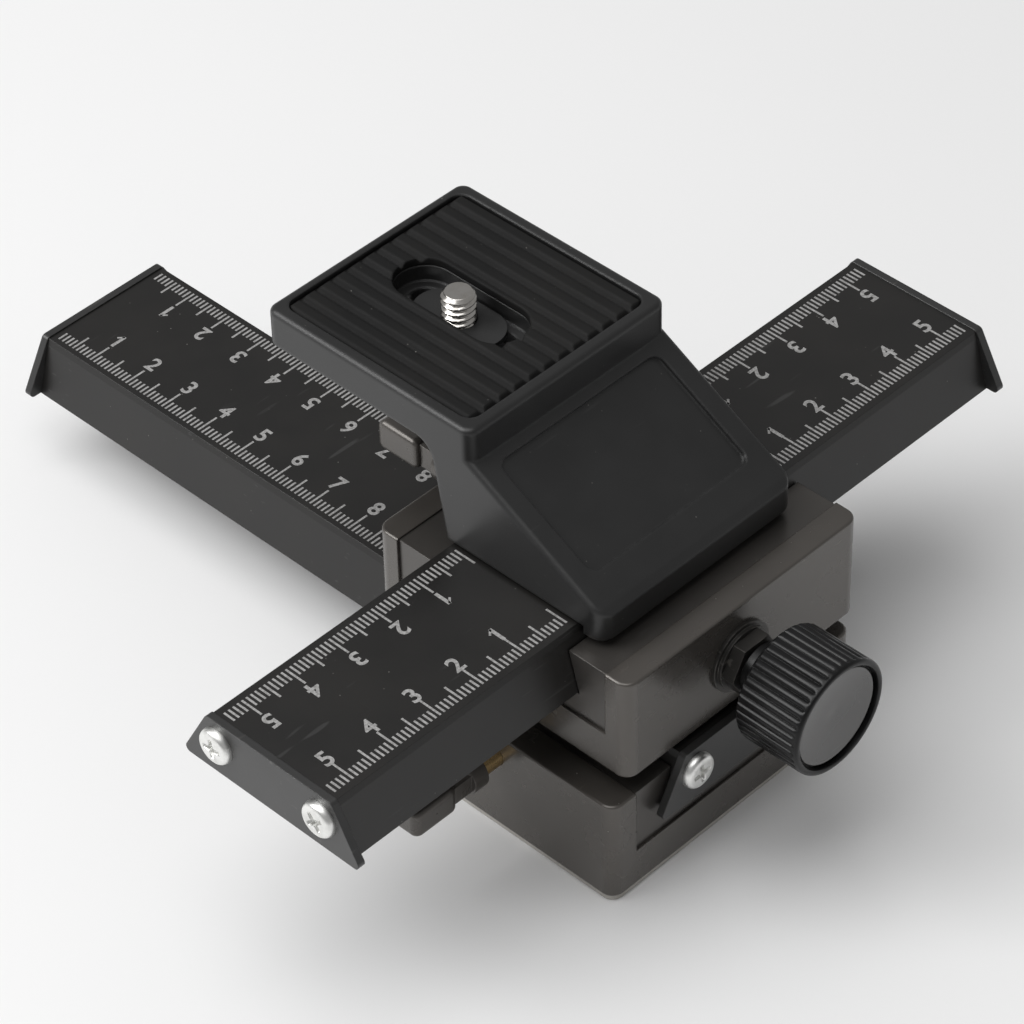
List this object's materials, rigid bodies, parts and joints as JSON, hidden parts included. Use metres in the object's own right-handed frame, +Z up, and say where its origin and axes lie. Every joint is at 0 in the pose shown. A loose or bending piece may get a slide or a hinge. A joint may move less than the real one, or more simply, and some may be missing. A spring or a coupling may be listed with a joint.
{
  "type": "macro focusing rail",
  "caption": "Two-axis macro focusing rail with crossed dovetail slides, rack-and-pinion knobs, thumb-lever locks and a padded camera platform.",
  "frame": {"origin": "centre of the tripod socket, in the plane of the base's underside", "axes": "+Z up; +Y along the lower rail towards its long end; +X along the upper rail, to the right as seen from the upper knob"},
  "size_m": [0.1678, 0.1886, 0.0814],
  "materials": {
    "shell_black": "satin black-brown enamel on die-cast housing",
    "liner_black": "moulded black plastic",
    "rail_black": "black anodised extrusion with a white millimetre scale",
    "rack_plastic": "black acetal",
    "plate_black": "black painted steel sheet",
    "zinc_screw": "bright zinc plating",
    "pedestal_black": "satin black casing",
    "rubber": "matt ribbed rubber",
    "chrome_screw": "bright nickel-chrome",
    "knob_plastic": "black ribbed plastic",
    "cap_grey": "glossy dark grey disc",
    "bushing_black": "blackened steel",
    "steel": "turned steel",
    "brass": "turned brass",
    "nylon": "natural nylon",
    "lever_black": "glossy black plastic",
    "sole_grey": "thin pale foam sheet"
  },
  "bodies": {
    "base": {"base_shell": "shell_black", "base_liner": "liner_black", "base_liner_screws": "zinc_screw", "base_bushing": "bushing_black", "base_washers": "bushing_black", "base_sole": "sole_grey", "tripod_insert": "brass"},
    "base_drive": {"base_shaft": "steel", "base_pinion": "brass", "base_knob": "knob_plastic", "base_knob_screw": "zinc_screw", "base_knob_cap": "cap_grey"},
    "base_lock": {"base_lock_lever": "lever_black", "base_lock_stud": "brass"},
    "base_brake": {"base_brake_pad": "nylon"},
    "carriage": {"lower_rail": "rail_black", "lower_rail_rack": "rack_plastic", "lower_rail_plate_near": "plate_black", "lower_rail_plate_far": "plate_black", "lower_rail_plate_screws": "zinc_screw", "mount_spacer": "plate_black", "mount_screws": "zinc_screw", "carriage_shell": "shell_black", "carriage_liner": "liner_black", "carriage_liner_screws": "zinc_screw", "carriage_bushing": "bushing_black", "carriage_washers": "bushing_black"},
    "carriage_drive": {"carriage_shaft": "steel", "carriage_pinion": "brass", "carriage_knob": "knob_plastic", "carriage_knob_screw": "zinc_screw", "carriage_knob_cap": "cap_grey"},
    "carriage_lock": {"carriage_lock_lever": "lever_black", "carriage_lock_stud": "brass"},
    "carriage_brake": {"carriage_brake_pad": "nylon"},
    "stage": {"upper_rail": "rail_black", "upper_rail_rack": "rack_plastic", "upper_rail_plate_near": "plate_black", "upper_rail_plate_far": "plate_black", "upper_rail_plate_screws": "zinc_screw", "pedestal": "pedestal_black", "pedestal_screws": "zinc_screw", "rubber_pad": "rubber"},
    "screw_carrier": {"slot_washer": "bushing_black"},
    "camera_screw_set": {"camera_screw": "chrome_screw", "thumb_wheel": "knob_plastic"}
  },
  "joints": [
    {"name": "carriage_slide", "type": "slide", "parent": "base", "child": "carriage", "axis": [0, 1, 0], "range_m": [-0.102, 0]},
    {"name": "base_knob_turn", "type": "hinge", "parent": "base", "child": "base_drive", "pos_m": [0.04, 0.014, 0.0116], "axis": [-1, 0, 0], "range_deg": [-1220, 2]},
    {"name": "base_lock_turn", "type": "hinge", "parent": "base", "child": "base_lock", "pos_m": [-0.04, -0.0015, 0.0178], "axis": [1, 0, 0], "range_deg": [0, 181]},
    {"name": "base_brake_press", "type": "slide", "parent": "base", "child": "base_brake", "axis": [1, 0, 0], "range_m": [0, 0.00035]},
    {"name": "stage_slide", "type": "slide", "parent": "carriage", "child": "stage", "axis": [1, 0, 0], "range_m": [-0.049, 0.052]},
    {"name": "carriage_knob_turn", "type": "hinge", "parent": "carriage", "child": "carriage_drive", "pos_m": [0.001, -0.04, 0.0376], "axis": [0, 1, 0], "range_deg": [-590, 625]},
    {"name": "carriage_lock_turn", "type": "hinge", "parent": "carriage", "child": "carriage_lock", "pos_m": [-0.0025, 0.04, 0.0438], "axis": [0, -1, 0], "range_deg": [0, 181]},
    {"name": "carriage_brake_press", "type": "slide", "parent": "carriage", "child": "carriage_brake", "axis": [0, -1, 0], "range_m": [0, 0.00035]},
    {"name": "camera_screw_shift", "type": "slide", "parent": "stage", "child": "screw_carrier", "axis": [0, 1, 0], "range_m": [-0.0052, 0.0042]},
    {"name": "camera_screw_turn", "type": "hinge", "parent": "screw_carrier", "child": "camera_screw_set", "pos_m": [0.001, 0.036, 0.07], "axis": [0, 0, 1], "continuous": true}
  ],
  "couplings": [
    {"joint": "base_knob_turn", "follows": "carriage_slide", "rad_per_m": 208.33},
    {"joint": "carriage_knob_turn", "follows": "stage_slide", "rad_per_m": 208.33},
    {"joint": "base_lock_turn", "follows": "base_brake_press", "rad_per_m": 8976},
    {"joint": "carriage_lock_turn", "follows": "carriage_brake_press", "rad_per_m": 8976}
  ]
}
